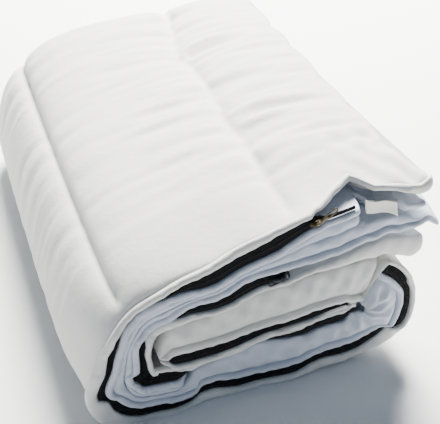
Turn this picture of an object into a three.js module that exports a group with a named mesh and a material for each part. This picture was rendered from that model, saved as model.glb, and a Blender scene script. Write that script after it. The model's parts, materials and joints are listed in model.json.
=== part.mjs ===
// A rolled pair of zipped duvets. Two quilts are zipped together along their edges,
// folded once lengthwise and wound into a flat roll with three runs. The roll lies on
// its side: X runs across it, Y along its axis, Z up. All sizes are in millimetres.
import * as THREE from 'three';

// Driving sizes of the roll
const ROLL_LENGTH = 700;       // along Y: half of the 1400 mm wide duvet
const FOLD_WALL = 46;          // upper quilt at the hidden fold, front to back
const LOWER_INSET = 14;        // lower quilt's fold lies this far inside the upper one's
const EDGE_ZONE = 46;          // from the stitched flat edge up to the full thickness
const LIP = 9;                 // bound edge of a quilt, front to back
const TAPE_FRONT = 5;          // the zip tapes lie this far behind the front plane
const TAPE_REAR = 7;
const TAPE_CLEAR = 0.8;        // from a tape's edges to the bound edges beside it
const LAYER_GAP = 0.35;        // between pieces that touch in the real roll
const SPLIT = 0.46;            // share of a half stack that the lower quilt takes
const FRONT_Y = -ROLL_LENGTH / 2;
const CENTRE_X = -11.5;        // middle of the roll across, in the path's own X

// The wound stack seen on its open end, from the free end to the foot in the middle.
// x, z: control point of the middle line, between the two layers of the lower quilt.
// out, in: half thickness of the stack's body on the outer and on the inner side.
// edgeOut, edgeIn: how far from the middle line the two rows of bound edge reach.
// tapeOut, tapeIn: middle of the two zip tapes, and their widths as they show.
const COLUMNS = ['x', 'z', 'out', 'in', 'edgeOut', 'edgeIn', 'tapeOut', 'outWidth', 'tapeIn', 'inWidth'];
const WINDING = [
  [264, 225, 37, 62, 37, 64, 27, 6, 28, 6],     // beyond the open mouth
  [209, 227, 38, 61, 38, 63, 28, 6, 29, 6],     // open mouth, four loose ends
  [150, 227, 40, 58, 41, 60, 28, 8, 31, 6],
  [90, 221, 42, 48, 44, 49, 30, 11, 34, 7],     // zips end here
  [34, 210, 43, 43, 45, 44, 26, 18, 32, 12],    // top run
  [-20, 195, 43, 39, 42, 39, 22, 20, 23, 15],
  [-70, 179, 43, 33, 40, 35, 20, 20, 21, 15],
  [-116, 171, 43, 30, 34, 30, 18, 13, 18, 9],
  [-156, 158, 43, 29, 27, 26, 13, 5, 13, 4],    // left shoulder
  [-182, 132, 43, 29, 28, 27, 15, 6, 15, 7],
  [-188, 100, 44, 30, 35, 31, 20, 8, 20, 8],    // left side
  [-193, 66, 46, 31, 42, 35, 26, 9, 25, 12],
  [-180, 36, 46, 32, 44, 38, 28, 14, 27, 18],   // lower left corner
  [-146, 34, 38, 34, 36, 35, 23, 15, 21, 15],
  [-100, 38, 39, 36, 36, 34, 20, 12, 18, 6],    // bottom run
  [-46, 43, 44, 36, 43, 33, 26, 16, 24, 4],
  [10, 46, 47, 37, 46, 37, 29, 16, 30, 7],
  [64, 49, 50, 37, 45, 43, 27, 14, 34, 13],
  [112, 49, 49, 35, 42, 43, 25, 15, 33, 16],
  [148, 58, 43, 30, 40, 32, 24, 13, 25, 8],     // right bend
  [162, 89, 41, 29, 39, 28, 22, 9, 22, 5],
  [148, 121, 40, 29, 39, 27, 22, 9, 21, 6],
  [112, 129, 42, 32, 40, 31, 22, 5, 23, 9],     // core run
  [60, 127, 42, 35, 40, 35, 21, 4, 24, 11],
  [4, 122, 38, 36, 38, 38, 21, 4, 28, 12],
  [-48, 117, 33, 35, 33, 42, 20, 4, 31, 17],
  [-96, 113, 28, 34, 28, 39, 17, 4, 26, 17],
  [-142, 111, 22, 28, 22, 28, 12, 4, 14, 10],   // foot, inside the left bend
  [-186, 110, 12, 20, 14, 20, 5, 4, 5, 4],
];

// Places along the winding, counted in its rows
const STEPS_PER_ROW = 3;
const FOOT = WINDING.length - 3;
const UPPER_START = 1 / 6;     // the upper quilt's end lies a little behind the lower one's
const LOWER_START = 0;
const LOWER_END = FOOT - 1;
const OUTER_ZIP_START = 7 / 3;
const INNER_ZIP_START = 11 / 3;
const ZIP_END = FOOT - 1;
const LABEL = { from: 5 / 6, to: 4 / 3, drop: 22, thick: 1.2, behind: 0.4, below: 2.8 };

// Zip sliders and their pulls, and how far each pull is turned from its tape
const SLIDER = { length: 15, width: 9.5, thick: 3.2 };
const PULL = { length: 34, width: 8, thick: 1.2, slot: { from: 16, to: 28, half: 2 } };
const SLIDERS = [
  { name: 'outer', row: 2.55, side: 1, turn: 0.5 },
  { name: 'inner', row: 3.95, side: -1, turn: -0.14 },
];

// Cross seams that divide the quilt into filled boxes: row, groove depth and half width
const SEAMS = [
  { row: 7.35, depth: 9, half: 12 },
  { row: 2.8, depth: 7, half: 16 },
  { row: 12.4, depth: 5, half: 14 },
];
const ROW_PITCH = 45;          // mean distance between two rows along the stack

// Near the mouth the outer bound edge steps back from the front plane: row, depth
const NOTCH = [[0.6, 0], [1, 10], [1.2, 16], [1.45, 49], [2.05, 29], [2.7, 0]];
const NOTCH_PEAK = 1.45;

// Free ends at the mouth: where each of the four layers lies and how thick its edge is
const MOUTH_REACH = 0.9;
const MOUTH_EDGE = 11;
const LOWER_MOUTH = { outLow: 7, outHigh: 18, inLow: 5, inHigh: 17 };

// The roll slumps away from the open end, most on its mouth side, and spreads a little
const SLUMP = { share: 0.095, from: -190, to: 90, power: 1.3, spread: 8 };

const smooth = (a, b, v) => THREE.MathUtils.smoothstep(v, a, b);
const mix = THREE.MathUtils.lerp;

// Uniform cubic B-spline through one column, u counted in rows
function column(name, u) {
  const k = COLUMNS.indexOf(name);
  const i = Math.min(Math.floor(u), WINDING.length - 4);
  const t = u - i;
  const weights = [(1 - t) ** 3, 3 * t ** 3 - 6 * t ** 2 + 4, 1 + 3 * t + 3 * t ** 2 - 3 * t ** 3, t ** 3];
  return weights.reduce((sum, w, j) => sum + w * WINDING[i + j][k], 0) / 6;
}

// Everything known about the stack at one place along the winding
function stationAt(u) {
  const station = { u };
  for (const name of COLUMNS) station[name] = column(name, u);
  const step = 0.01;
  const a = Math.max(u - step, 0);
  const b = Math.min(u + step, WINDING.length - 3);
  const tangent = new THREE.Vector2(column('x', b) - column('x', a), column('z', b) - column('z', a));
  tangent.normalize();
  station.normal = new THREE.Vector2(tangent.y, -tangent.x);
  return station;
}

// Depth of the seam grooves in the outer face
function groove(u) {
  let depth = 0;
  for (const seam of SEAMS) {
    const away = (u - seam.row) * ROW_PITCH / seam.half;
    depth = Math.max(depth, seam.depth * Math.exp(-away * away));
  }
  return depth;
}

// How far the outer bound edge stands back from the front plane
function recess(u) {
  for (let i = 1; i < NOTCH.length; i += 1) {
    const [u0, depth0] = NOTCH[i - 1];
    const [u1, depth1] = NOTCH[i];
    if (u >= u0 && u <= u1) return mix(depth0, depth1, (u - u0) / (u1 - u0));
  }
  return 0;
}

// The lower quilt's outer layer stands back behind the notch and the label
function lowerShare(u) {
  return smooth(0.3, LABEL.from - 0.05, u) * (1 - smooth(1.5, 2.2, u));
}

function lowerRecess(u) {
  return (recess(u) + 16) * lowerShare(u);
}

// From the stack's own (u, y, n) to the room: n is measured outwards from the middle line
function place(station, y, n) {
  const along = Math.max(y, 0) / ROLL_LENGTH;
  const across = smooth(SLUMP.from, SLUMP.to, station.x);
  const x = station.x + n * station.normal.x - CENTRE_X + SLUMP.spread * across * along;
  let z = station.z + n * station.normal.y;
  z *= 1 - SLUMP.share * across * along ** SLUMP.power;
  return new THREE.Vector3(x, FRONT_Y + y, Math.max(z, 0));
}

// Shared depths from the front edge, so that neighbours have matching facets
const INNER_Y = [30, 200, 400, ROLL_LENGTH - FOLD_WALL - 60];

// Boundaries between the layers at one station, at the front edge and in the body
function layers(station) {
  const { u } = station;
  const foot = smooth(FOOT - 1.35, FOOT - 0.35, u);
  const close = 1 - 0.94 * foot;
  const open = 1 - smooth(0, MOUTH_REACH, u);
  const rounding = Math.sqrt(1 - smooth(FOOT - 0.7, FOOT + 0.12, u) ** 2);
  const half = LAYER_GAP / 2;
  const outer = (station.out - groove(u)) * rounding;
  const inner = station.in * rounding;
  const splitOut = station.out * SPLIT * close;
  const splitIn = station.in * SPLIT * close;
  return {
    outer,
    inner,
    edgeOut: station.edgeOut * rounding,
    edgeIn: station.edgeIn * rounding,
    upperOut: mix(splitOut + LAYER_GAP, outer - MOUTH_EDGE, open),
    upperIn: mix(splitIn + LAYER_GAP, inner - MOUTH_EDGE, open),
    lowerOut: mix(splitOut, LOWER_MOUTH.outHigh, open),
    lowerIn: mix(splitIn, LOWER_MOUTH.inHigh, open),
    slitOut: mix(half, LOWER_MOUTH.outLow, open),
    slitIn: mix(half, LOWER_MOUTH.inLow, open),
    upperLipOut: mix((station.tapeOut + station.outWidth / 2) * close + half, station.edgeOut - 9, open),
    upperLipIn: mix((station.tapeIn + station.inWidth / 2) * close + half, station.edgeIn - 9, open),
    lowerLipOut: mix((station.tapeOut - station.outWidth / 2) * close - half, LOWER_MOUTH.outHigh - 2, open),
    lowerLipIn: mix((station.tapeIn - station.inWidth / 2) * close - half, LOWER_MOUTH.inHigh - 2, open),
  };
}

// Outer quilt's cross section in (y, n): outer leg, hidden fold, inner leg, and back inside
function upperSection(station) {
  const s = layers(station);
  const back = recess(station.u);
  const end = ROLL_LENGTH;
  const wall = end - FOLD_WALL;
  const points = [
    [back, s.upperLipOut],
    [back, Math.max(s.edgeOut - 1.5, s.upperLipOut + 2)],
    [back + LIP, Math.max(mix(s.edgeOut, s.outer, 0.12), s.upperLipOut + 3)],
    [back + EDGE_ZONE, mix(s.edgeOut, s.outer, 0.9)],
    [150, s.outer + 2],
    [260, s.outer + 1],
    [380, s.outer + 3],
    [500, s.outer + 1],
    [600, s.outer],
    [wall + 14, s.outer * 0.86],
    [end - 8, s.outer * 0.45],
    [end, 0],
    [end - 8, -s.inner * 0.45],
    [wall + 14, -s.inner * 0.86],
    [600, -s.inner],
    [400, -s.inner],
    [200, -s.inner],
    [EDGE_ZONE, -mix(s.edgeIn, s.inner, 0.9)],
    [LIP, -Math.max(mix(s.edgeIn, s.inner, 0.12), s.upperLipIn + 3)],
    [0, -Math.max(s.edgeIn - 1.5, s.upperLipIn + 2)],
    [0, -s.upperLipIn],
  ];
  for (const y of INNER_Y) points.push([y, -s.upperIn]);
  points.push([wall, 0]);
  for (const y of [...INNER_Y].reverse()) points.push([Math.max(y, back + 12), s.upperOut]);
  return points;
}

// Inner quilt's cross section: the same fold, one layer further in
function lowerSection(station) {
  const s = layers(station);
  const wall = ROLL_LENGTH - FOLD_WALL - LOWER_INSET;
  const back = lowerRecess(station.u);
  const lip = mix(s.lowerLipOut, s.lowerOut - 5, lowerShare(station.u));
  const points = [[back, Math.max(lip, s.slitOut + 2)]];
  for (const y of INNER_Y) points.push([Math.max(y, back + 10), s.lowerOut]);
  points.push([wall, 0]);
  for (const y of [...INNER_Y].reverse()) points.push([y, -s.lowerIn]);
  points.push([0, -Math.max(s.lowerLipIn, s.slitIn + 2)]);
  points.push([0, -s.slitIn]);
  points.push([INNER_Y[1], -s.slitIn]);
  points.push([wall - 40, 0]);
  points.push([INNER_Y[1], s.slitOut]);
  points.push([back, s.slitOut]);
  return points;
}

// A zip tape with its closed teeth: a thin strip seated between two bound edges
function tapeSection(station, side) {
  const s = layers(station);
  const lowLip = side > 0 ? s.lowerLipOut : s.lowerLipIn;
  const lowLeg = side > 0 ? s.lowerOut : s.lowerIn;
  const highLip = side > 0 ? s.upperLipOut : s.upperLipIn;
  const highLeg = side > 0 ? s.upperOut : s.upperIn;
  const low = (y) => mix(lowLip, lowLeg, y / INNER_Y[0]) + TAPE_CLEAR;
  const high = (y) => mix(highLip, highLeg, y / INNER_Y[0]) - TAPE_CLEAR;
  const points = [
    [TAPE_FRONT, low(TAPE_FRONT)],
    [TAPE_FRONT, high(TAPE_FRONT)],
    [TAPE_REAR, high(TAPE_REAR)],
    [TAPE_REAR, low(TAPE_REAR)],
  ];
  return points.map(([y, n]) => [y, side * n]);
}

// The care label hangs from the stitched edge beside the notch, in front of the lower quilt
function labelSection(station) {
  const s = layers(station);
  const top = s.upperLipOut - LABEL.below;
  const front = recess(station.u) + LABEL.behind;
  const rear = front + LABEL.thick;
  return [[front, top - LABEL.drop], [front, top], [rear, top], [rear, top - LABEL.drop]];
}

// Places along the winding where every piece has its sections, with one on each seam
const PLACES = Array.from({ length: FOOT * STEPS_PER_ROW + 1 }, (_, i) => i / STEPS_PER_ROW);
PLACES.push(UPPER_START, LABEL.from, NOTCH_PEAK, ...SEAMS.map((seam) => seam.row));
PLACES.sort((a, b) => a - b);

function placesBetween(from, to) {
  const slack = 0.5 / STEPS_PER_ROW / 10;
  return PLACES.filter((u) => u > from - slack && u < to + slack);
}

// Triangles that fill one section, turned the same way round as its outline
function capFaces(section) {
  const outline = section.map(([y, n]) => new THREE.Vector2(y, n));
  const sign = Math.sign(THREE.ShapeUtils.area(outline));
  return THREE.ShapeUtils.triangulateShape(outline, []).map(([a, b, c]) => {
    const same = Math.sign(THREE.ShapeUtils.area([outline[a], outline[b], outline[c]])) === sign;
    return same ? [a, b, c] : [a, c, b];
  });
}

// One closed skin through equal sections, capped at both ends
function sweep(sections, points) {
  const rings = sections.length;
  const count = points[0].length;
  const position = [];
  for (const ring of points) {
    for (const p of ring) position.push(p.x, p.y, p.z);
  }
  const index = [];
  for (let i = 0; i < rings - 1; i += 1) {
    for (let j = 0; j < count; j += 1) {
      const k = (j + 1) % count;
      const a = i * count + j;
      const b = i * count + k;
      const c = (i + 1) * count + k;
      const d = (i + 1) * count + j;
      // Facing walls of two pieces split their facets along the same diagonal
      if (sections[i][j][0] < sections[i][k][0]) index.push(a, d, c, a, c, b);
      else index.push(a, d, b, b, d, c);
    }
  }
  for (const [a, b, c] of capFaces(sections[0])) index.push(a, b, c);
  const last = (rings - 1) * count;
  for (const [a, b, c] of capFaces(sections[rings - 1])) index.push(last + a, last + c, last + b);
  const geometry = new THREE.BufferGeometry();
  geometry.setAttribute('position', new THREE.Float32BufferAttribute(position, 3));
  geometry.setIndex(index);
  return outward(geometry);
}

// Turns every face round when the skin encloses a negative volume
function outward(geometry) {
  const p = geometry.getAttribute('position');
  const index = geometry.getIndex().array;
  const [a, b, c] = [new THREE.Vector3(), new THREE.Vector3(), new THREE.Vector3()];
  let volume = 0;
  for (let i = 0; i < index.length; i += 3) {
    a.fromBufferAttribute(p, index[i]);
    b.fromBufferAttribute(p, index[i + 1]);
    c.fromBufferAttribute(p, index[i + 2]);
    volume += a.dot(b.cross(c)) / 6;
  }
  if (volume < 0) {
    for (let i = 0; i < index.length; i += 3) {
      [index[i + 1], index[i + 2]] = [index[i + 2], index[i + 1]];
    }
  }
  geometry.computeVertexNormals();
  return geometry;
}

function wound(from, to, section) {
  const places = placesBetween(from, to).map(stationAt);
  const sections = places.map(section);
  const points = sections.map((ring, i) => ring.map(([y, n]) => place(places[i], y, n)));
  return sweep(sections, points);
}

// A slider's own axes: along the tape, across it, and out of the open end
function onTape(station, n, lift, turn) {
  const along = new THREE.Vector3(-station.normal.y, 0, station.normal.x);
  const out = new THREE.Vector3(0, -1, 0);
  const across = new THREE.Vector3().crossVectors(out, along);
  const matrix = new THREE.Matrix4().makeBasis(along, across, out);
  matrix.multiply(new THREE.Matrix4().makeRotationZ(turn));
  matrix.setPosition(place(station, lift, n));
  return matrix;
}

// Slider body: a waisted plate with rounded ends
function sliderBody() {
  const { length, width, thick } = SLIDER;
  const shape = new THREE.Shape();
  shape.moveTo(-length / 2, -width * 0.3);
  shape.quadraticCurveTo(-length * 0.1, -width * 0.34, length * 0.2, -width / 2);
  shape.quadraticCurveTo(length / 2, -width * 0.45, length / 2, -width * 0.12);
  shape.lineTo(length * 0.36, 0);
  shape.lineTo(length / 2, width * 0.12);
  shape.quadraticCurveTo(length / 2, width * 0.45, length * 0.2, width / 2);
  shape.quadraticCurveTo(-length * 0.1, width * 0.34, -length / 2, width * 0.3);
  shape.closePath();
  return new THREE.ExtrudeGeometry(shape, { depth: thick, bevelEnabled: false, curveSegments: 4 });
}

// Pull: a flat bar with a rounded end and a slot
function pullTab() {
  const { length, width, thick, slot } = PULL;
  const shape = new THREE.Shape();
  shape.moveTo(0, -width * 0.32);
  shape.lineTo(length - width / 2, -width / 2);
  shape.absarc(length - width / 2, 0, width / 2, -Math.PI / 2, Math.PI / 2, false);
  shape.lineTo(0, width * 0.32);
  shape.closePath();
  const hole = new THREE.Path();
  hole.moveTo(slot.from, -slot.half);
  hole.lineTo(slot.from, slot.half);
  hole.lineTo(slot.to, slot.half);
  hole.lineTo(slot.to, -slot.half);
  hole.closePath();
  shape.holes.push(hole);
  return new THREE.ExtrudeGeometry(shape, { depth: thick, bevelEnabled: false, curveSegments: 6 });
}

const COTTON = { color: 0xe6e6e3, roughness: 0.9, metalness: 0 };
const COTTON_INNER = { color: 0xd9dce2, roughness: 0.9, metalness: 0 };
const TAPE = { color: 0x14161a, roughness: 0.8, metalness: 0 };
const BRASS = { color: 0x8d8268, roughness: 0.4, metalness: 1 };
const GUNMETAL = { color: 0x4a4d52, roughness: 0.4, metalness: 1 };
const LABEL_CLOTH = { color: 0xebe9e2, roughness: 0.8, metalness: 0 };

function mesh(name, geometry, finish) {
  const piece = new THREE.Mesh(geometry, new THREE.MeshStandardMaterial({ ...finish, flatShading: true }));
  piece.name = name;
  return piece;
}

// A slider and its pull, seated on the front face of one tape, the pull towards the mouth
function slider({ name, row, side, turn }, finish) {
  const station = stationAt(row);
  const edges = tapeSection(station, side);
  const n = (edges[0][1] + edges[1][1]) / 2;
  const bodyRear = TAPE_FRONT - LAYER_GAP;
  const pullRear = bodyRear - SLIDER.thick - LAYER_GAP;
  const body = mesh(`slider_${name}`, sliderBody(), finish);
  const pull = mesh(`pull_${name}`, pullTab(), finish);
  body.applyMatrix4(onTape(station, n, bodyRear, 0));
  pull.applyMatrix4(onTape(station, n, pullRear, Math.PI + turn));
  return [body, pull];
}

const roll = new THREE.Group();
roll.add(mesh('upper_quilt', wound(UPPER_START, FOOT, upperSection), COTTON));
roll.add(mesh('lower_quilt', wound(LOWER_START, LOWER_END, lowerSection), COTTON_INNER));
roll.add(mesh('zip_tape_outer', wound(OUTER_ZIP_START, ZIP_END, (s) => tapeSection(s, 1)), TAPE));
roll.add(mesh('zip_tape_inner', wound(INNER_ZIP_START, ZIP_END, (s) => tapeSection(s, -1)), TAPE));
roll.add(mesh('care_label', wound(LABEL.from, LABEL.to, labelSection), LABEL_CLOTH));
roll.add(...slider(SLIDERS[0], BRASS));
roll.add(...slider(SLIDERS[1], GUNMETAL));

export default roll;
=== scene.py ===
# %% [markdown]
# # A rolled pair of zipped duvets
# Two quilts are zipped together along their edges, folded once and wound into a flat roll.
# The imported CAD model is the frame: it fixes where everything lies. This lesson dresses it
# with cloth that puffs and puckers, with zips, a label and stitches, and lights it.

# %% Load the frame
import json
import math
import bpy
import numpy as np
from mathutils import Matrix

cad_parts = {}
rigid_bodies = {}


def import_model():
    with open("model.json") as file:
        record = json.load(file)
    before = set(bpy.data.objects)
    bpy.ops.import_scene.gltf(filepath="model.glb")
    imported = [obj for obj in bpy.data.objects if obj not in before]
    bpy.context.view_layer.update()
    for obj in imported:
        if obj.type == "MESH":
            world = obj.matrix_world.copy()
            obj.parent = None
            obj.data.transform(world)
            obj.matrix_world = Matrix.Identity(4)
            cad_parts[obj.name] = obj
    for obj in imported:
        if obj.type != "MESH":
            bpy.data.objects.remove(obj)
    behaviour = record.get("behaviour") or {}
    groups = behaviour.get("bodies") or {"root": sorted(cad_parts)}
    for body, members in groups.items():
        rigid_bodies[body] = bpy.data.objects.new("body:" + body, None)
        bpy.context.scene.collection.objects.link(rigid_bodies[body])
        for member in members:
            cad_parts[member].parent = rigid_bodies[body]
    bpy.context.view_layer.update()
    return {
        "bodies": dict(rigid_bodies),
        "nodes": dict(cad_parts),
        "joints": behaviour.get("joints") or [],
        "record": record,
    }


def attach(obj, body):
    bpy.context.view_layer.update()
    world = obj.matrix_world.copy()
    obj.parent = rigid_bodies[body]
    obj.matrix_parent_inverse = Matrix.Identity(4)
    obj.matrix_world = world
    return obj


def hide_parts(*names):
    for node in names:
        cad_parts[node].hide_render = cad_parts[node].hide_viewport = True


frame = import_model()
print("CAD nodes:", sorted(frame["nodes"]))

# %% [markdown]
# ## The path of the winding
# A roll is one section carried along a spiral. The table gives the control points of the
# spiral's middle line and, at each of them, how far the layers reach to its two sides.
# A uniform cubic B-spline turns the rows into smooth curves, so that one number u, counted
# in rows from the free end, says where we are along the winding.

# %% The table of the winding, in millimetres
MM = 0.001
ROLL_LENGTH = 700.0
FOLD_WALL = 46.0  # thickness of the outer quilt's fold at the back
LOWER_INSET = 14.0  # room between that fold and the inner quilt's
FRONT_Y = -ROLL_LENGTH / 2
CENTRE_X = -11.5  # the roll's middle in the table's x
ROW_PITCH = 45.0  # taken as the distance between two rows
COLUMNS = ("x", "z", "out", "in", "edge_out", "edge_in")
WINDING = np.array([
    (264, 225, 37, 62, 37, 64),
    (209, 227, 38, 61, 38, 63),
    (150, 227, 40, 58, 41, 60),
    (90, 221, 42, 48, 44, 49),
    (34, 210, 43, 43, 45, 44),
    (-20, 195, 43, 39, 42, 39),
    (-70, 179, 43, 33, 40, 35),
    (-116, 171, 43, 30, 34, 30),
    (-156, 158, 43, 29, 27, 26),
    (-182, 132, 43, 29, 28, 27),
    (-188, 100, 42, 30, 38, 31),
    (-193, 66, 46, 31, 52, 35),
    (-180, 36, 50, 32, 58, 38),
    (-146, 34, 40, 34, 40, 35),
    (-100, 38, 39, 36, 36, 34),
    (-46, 43, 44, 36, 43, 33),
    (10, 46, 47, 37, 46, 37),
    (64, 49, 50, 37, 45, 43),
    (112, 49, 50, 35, 44, 43),
    (148, 58, 53, 30, 51, 32),
    (162, 89, 48, 29, 46, 28),
    (148, 121, 43, 29, 42, 27),
    (112, 129, 42, 32, 40, 31),
    (60, 127, 42, 35, 40, 35),
    (4, 122, 38, 36, 38, 38),
    (-48, 117, 33, 35, 33, 42),
    (-96, 113, 28, 34, 28, 39),
    (-150, 111, 22, 28, 22, 30),
    (-194, 110, 14, 24, 16, 24),
], float)
LAST = len(WINDING) - 3  # the spline's last row, at the core's blunt end
UPPER_START, LOWER_START = -0.06, -0.27
LOWER_END = ZIP_END = LAST - 0.24
ZIP_START = {"outer": 1.75, "inner": 3.4}
MIDDLE_SEAM = 2.8
SEAMS = {7.35: (7.5, 6.5), MIDDLE_SEAM: (5.5, 8.0), 12.4: (6.0, 9.0), 17.2: (5.0, 9.0)}  # row: depth, width
WANDER = np.array([(0, 2.95), (104, 2.92), (204, 2.8), (272, 2.86), (332, 2.72), (424, 2.68), (496, 2.82),
                   (628, 2.44), (700, 2.4)])  # the middle seam's row at each depth
NOTCH = np.array([(0.6, 0), (1, 10), (1.2, 16), (1.45, 49), (2.05, 29), (2.7, 0)], float)  # row, set back
SLUMP_SHARE, SLUMP_FROM, SLUMP_TO, SLUMP_POWER = 0.095, -190.0, 90.0, 1.3
DRIFT, SPREAD, DRIFT_POWER = 22.0, 2.0, 1.8  # how far the back lies to the right, and more at the mouth
print("control rows:", len(WINDING), "turns end at row", LAST)


# %% Reading the spline and placing points
def ramp(a, b, v):
    """0 below a, 1 above b, and the smooth cubic 3t^2 - 2t^3 between them."""
    t = np.clip((np.asarray(v, float) - a) / (b - a), 0, 1)
    return t * t * (3 - 2 * t)


def between(rise, fall, v):
    """1 between a rising and a falling ramp, each given as its two ends, and 0 outside them."""
    return ramp(*rise, v) * (1 - ramp(*fall, v))


def mix(a, b, t):
    """a plus the share t of the way to b."""
    return a + (b - a) * t


def unit(vectors):
    """Vectors divided by their length."""
    return vectors / np.linalg.norm(vectors, axis=-1, keepdims=True)


def spline(u):
    """Uniform cubic B-spline: four neighbouring rows, weighted by the four basis cubics of t."""
    u = np.clip(u, 0, LAST)
    i = np.minimum(np.floor(u).astype(int), LAST - 1)
    t = u - i
    weights = ((1 - t) ** 3, 3 * t**3 - 6 * t**2 + 4, 1 + 3 * t + 3 * t**2 - 3 * t**3, t**3)
    return sum(w[..., None] * WINDING[i + j] for j, w in enumerate(weights)) / 6


def stack_at(u, step=0.01):
    """All the table's columns at u, and the unit normal, the tangent (x, z) turned to (z, -x)."""
    values = spline(u)
    s = {name: values[..., k] for k, name in enumerate(COLUMNS)}
    u = np.clip(u, step, LAST - step)
    tangent = unit((spline(u + step) - spline(u - step))[..., :2])
    s["normal_x"], s["normal_z"] = tangent[..., 1], -tangent[..., 0]
    return s


FLUTTER = ((2.2, 7.4, 16, 0.6), (1.6, 11.5, -11, 2.0))  # height, turn per row, depth per radian, phase
FLUTTER_ROWS, FLUTTER_DEPTHS = (0.5, 2.0), (50, 220)  # where it fades


def flutter(u, y):
    """How far the loose pages swing together at the mouth, in mm: two sines that lean against each other."""
    swing = sum(height * np.sin(turn * u + y / depth + phase) for height, turn, depth, phase in FLUTTER)
    return swing * (1 - ramp(*FLUTTER_ROWS, u)) * (1 - ramp(*FLUTTER_DEPTHS, y))


def place(u, y, n):
    """Point at u along the winding, y behind the front and n off the middle line, in metres. The roll
    slumps to the back: z shrinks by a share that grows with y and towards the mouth, and x drifts."""
    u, y, n = np.broadcast_arrays(u, y, n)
    n = n + flutter(u, y)
    s = stack_at(u)
    beyond = ROW_PITCH * np.maximum(-u, 0)
    along = np.maximum(y, 0) / ROLL_LENGTH
    across = ramp(SLUMP_FROM, SLUMP_TO, s["x"])
    x = s["x"] + n * s["normal_x"] - CENTRE_X + (DRIFT + SPREAD * across) * along**DRIFT_POWER + beyond
    z = (s["z"] + n * s["normal_z"]) * (1 - SLUMP_SHARE * across * along**SLUMP_POWER)
    return np.stack([x, FRONT_Y + y, np.maximum(z, 0)], axis=-1) * MM


def arc_length(u):
    """Length of the middle line from the free end to u, in millimetres, by summed chords."""
    fine = np.linspace(0, LAST, 2001)
    path = spline(fine)[:, :2]
    steps = np.linalg.norm(np.diff(path, axis=0), axis=1)
    return np.interp(u, fine, np.concatenate([[0], np.cumsum(steps)]))


row_of_arc = np.linspace(0, LAST, 400)
arc_of_row = arc_length(row_of_arc)
print("winding length:", round(float(arc_length(LAST))), "mm")

# %% [markdown]
# ## The layers of the stack
# At every place the stack holds, from outside in: the outer quilt, the inner quilt's two
# layers, and the outer quilt again. At the free end the four layers part like pages. The
# boundaries could be modelled one by one; as functions of u they can't cross each other.

# %% Boundaries between the layers
SPLIT, LAYER_GAP = 0.46, 0.35  # where the two quilts meet, as a share of the stack, and their gap
MOUTH_REACH = 0.9  # rows over which the pages open
# The open pages on each side: face, outer page inside its face, lip inside its edge, inner page from and to
MOUTH = {"out": ("outer", 20.0, 18.0, 3.0, 15.0), "in": ("inner", 32.0, 32.0, 16.0, 28.0)}
# The zips as they show: place in rows, distance from the middle line, width of the strip.
# Where one is hidden its width is nil.
ZIP_PATH = {
    "outer": np.array([
        (0, 28, 6), (1.7, 30, 6), (2.02, 31, 6), (2.4, 31.5, 7.5), (2.5, 31.7, 15), (2.71, 30.7, 16),
        (3.08, 26.5, 19), (3.45, 22.8, 22), (3.83, 20.6, 20), (4.21, 19.6, 18), (5.04, 19.7, 20),
        (5.46, 19.5, 17), (5.88, 21, 11), (6.31, 20.3, 5), (6.9, 19, 3), (7.73, 18, 2.6), (8.28, 17, 6),
        (8.6, 19, 9), (9.26, 20.5, 7.5), (9.58, 23.5, 7.5), (9.83, 27, 8.5), (10.12, 32, 11),
        (10.3, 32, 11), (10.4, 27, 5), (10.5, 24, 8), (10.74, 24.7, 13), (11.39, 24.9, 15),
        (11.85, 22.5, 14), (12.32, 24.4, 12), (12.77, 25, 9), (12.98, 22, 5), (13.05, 16.5, 13),
        (13.42, 16.5, 14), (13.7, 21, 15), (14.01, 25.4, 16), (14.61, 28.6, 14), (15.44, 28.6, 16),
        (15.87, 25, 13), (16.33, 22.6, 14), (16.8, 24.4, 16), (17.29, 26, 16), (17.81, 22, 13),
        (18.0, 20, 11), (18.1, 20, 4), (18.2, 34, 5), (18.32, 37, 12), (18.5, 36.5, 14), (18.7, 35, 12),
        (18.94, 34, 10.5), (19.24, 33, 10), (19.4, 31, 9), (19.5, 31, 13), (19.9, 29, 15), (20.2, 28, 15),
        (20.27, 27, 0), (26, 20, 0)], float),
    "inner": np.array([
        (0, 29, 6), (2.8, 33, 8), (3.38, 30, 14), (3.6, 28.4, 16), (4.04, 23.4, 15), (4.43, 22.4, 17),
        (4.83, 23, 15), (5.24, 21, 13), (5.64, 17.5, 13), (5.87, 16.3, 10), (6.12, 16.4, 7), (6.39, 17, 3),
        (6.5, 17, 0), (7.7, 15, 0), (7.9, 15, 4), (8.24, 16.5, 9), (8.72, 18.6, 7), (9.14, 22, 9),
        (9.5, 23.5, 10), (9.62, 20, 21), (10.2, 21.5, 22), (10.5, 25, 21), (12.18, 28, 20),
        (12.42, 25.2, 18), (12.64, 23.6, 12), (12.85, 23, 0), (14.5, 33, 0), (14.84, 35, 5),
        (15.24, 33.3, 7), (15.64, 31.6, 12), (16.06, 34, 14), (16.51, 37.4, 20), (16.9, 38, 20),
        (17.05, 37, 12), (17.15, 36, 0), (21.0, 24, 0), (21.15, 24, 9), (21.73, 24.4, 10),
        (22.17, 24.9, 12), (22.56, 24.8, 10), (22.97, 27, 10), (23.36, 29, 13), (23.99, 31, 17),
        (24.64, 31.6, 16.5), (25.27, 27, 17), (25.65, 24.5, 16), (26, 23, 16)], float),
}
SIDES = {"outer": 1, "inner": -1}  # which way n runs from the middle line to each zip
ZIP_ROUND = 0.2  # rows over which a zip's strip rounds off at the core's end
HIDDEN_BACK = 22.0  # how far a hidden strip or edge lies behind the front
FLAP_RISE = 5.0  # how much fuller the outermost page is at its free end
FLAP_ROWS = (0, 1.6)
THIN_SHARE, THIN_ROWS = 0.55, (UPPER_START - 0.1, UPPER_START + 0.2)  # the pages thin to their ends
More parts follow.
